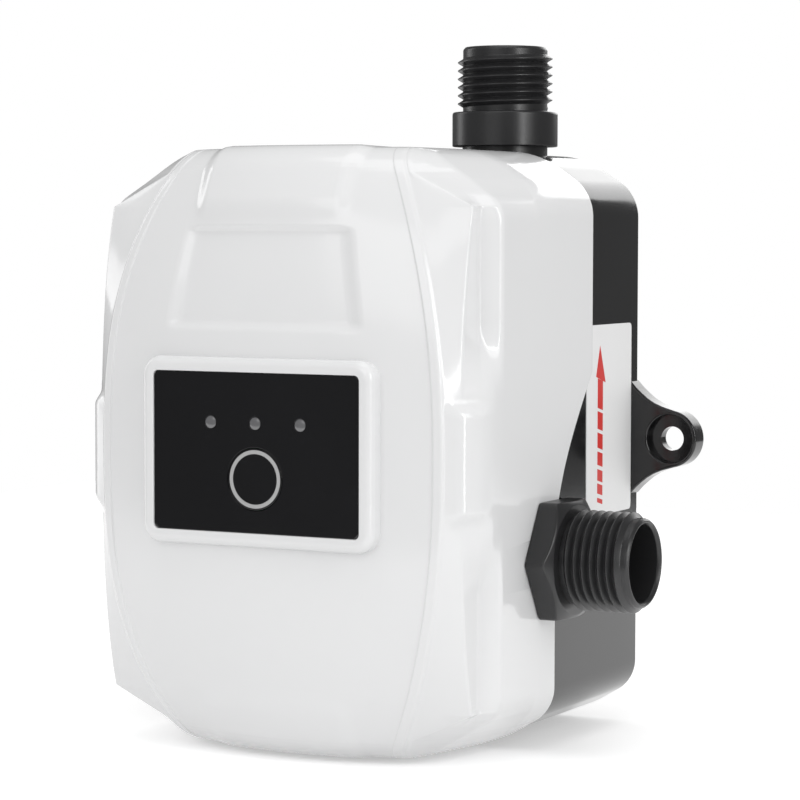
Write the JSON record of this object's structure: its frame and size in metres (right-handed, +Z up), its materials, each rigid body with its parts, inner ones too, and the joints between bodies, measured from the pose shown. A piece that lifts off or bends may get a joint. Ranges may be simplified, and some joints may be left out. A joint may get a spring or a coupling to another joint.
{
  "type": "shower pump",
  "caption": "Wall-mounted water booster pump with a barrel-faced white cover, black rear casing with ears, threaded outlet on top and threaded inlet on the side.",
  "frame": {"origin": "on the wall, midway between the two ear holes", "axes": "+Y into the wall, so the front faces -Y; +Z up along the outlet; +X to the side of the inlet"},
  "size_m": [0.129, 0.0899, 0.1513],
  "materials": {
    "shell_white": "gloss",
    "casing_black": "gloss",
    "fitting_black": "satin moulded",
    "label_black": "gloss film",
    "ring_grey": "printed",
    "lens_grey": "smoked, unlit",
    "sticker_white": "printed vinyl",
    "clear": "clear",
    "board_green": "solder resist",
    "led_white": "lamp body",
    "switch_black": "matt",
    "plunger_brown": "matt",
    "capacitor_blue": "sleeved can",
    "socket_cream": "matt",
    "screw_steel": "zinc plated",
    "pump_grey": "glass-filled",
    "seal_rubber": "matt",
    "impeller_cream": "matt",
    "shaft_ceramic": "ground",
    "magnet_grey": "sintered",
    "bush_carbon": "carbon",
    "can_steel": "drawn",
    "core_steel": "laminated",
    "copper": "enamelled wire",
    "motor_black": "satin",
    "filter_steel": "woven",
    "float_red": "matt"
  },
  "bodies": {
    "pump": {"front_shell": "shell_white", "rear_casing": "casing_black", "outlet_fitting": "fitting_black", "inlet_fitting": "fitting_black", "control_label": "label_black", "status_lens_left": "lens_grey", "status_lens_middle": "lens_grey", "status_lens_right": "lens_grey", "flow_sticker": "sticker_white", "light_pipes": "clear", "circuit_board": "board_green", "board_leds": "led_white", "tact_switch": "switch_black", "board_capacitors": "capacitor_blue", "motor_socket": "socket_cream", "board_screws": "screw_steel", "case_screws": "screw_steel", "volute_housing": "pump_grey", "chamber_gasket": "seal_rubber", "chamber_cover": "pump_grey", "cover_screws": "screw_steel", "front_bush": "bush_carbon", "rear_bush": "bush_carbon", "bearing_plate": "impeller_cream", "rotor_can": "can_steel", "can_seal": "seal_rubber", "stator_core": "core_steel", "stator_windings": "copper", "motor_housing": "motor_black", "motor_screws": "screw_steel", "inlet_seal": "seal_rubber", "outlet_seal": "seal_rubber", "inlet_filter": "filter_steel", "float_retainer": "impeller_cream", "reed_switch": "switch_black", "cord_grommet": "seal_rubber"},
    "rotor": {"impeller": "impeller_cream", "pump_shaft": "shaft_ceramic", "rotor_magnet": "magnet_grey", "thrust_washer": "impeller_cream"},
    "button": {"mode_button": "label_black", "button_ring": "ring_grey", "switch_plunger": "plunger_brown"},
    "float": {"flow_float": "float_red"}
  },
  "joints": [
    {"name": "rotor_spin", "type": "hinge", "parent": "pump", "child": "rotor", "pos_m": [0.019, -0.0463, -0.0225], "axis": [1, 0, 0], "continuous": true},
    {"name": "button_press", "type": "slide", "parent": "pump", "child": "button", "axis": [0, 1, 0], "range_m": [0, 0.00035], "stiffness_N_per_m": 3000},
    {"name": "float_lift", "type": "slide", "parent": "pump", "child": "float", "axis": [0, 0, 1], "range_m": [0, 0.008]}
  ]
}
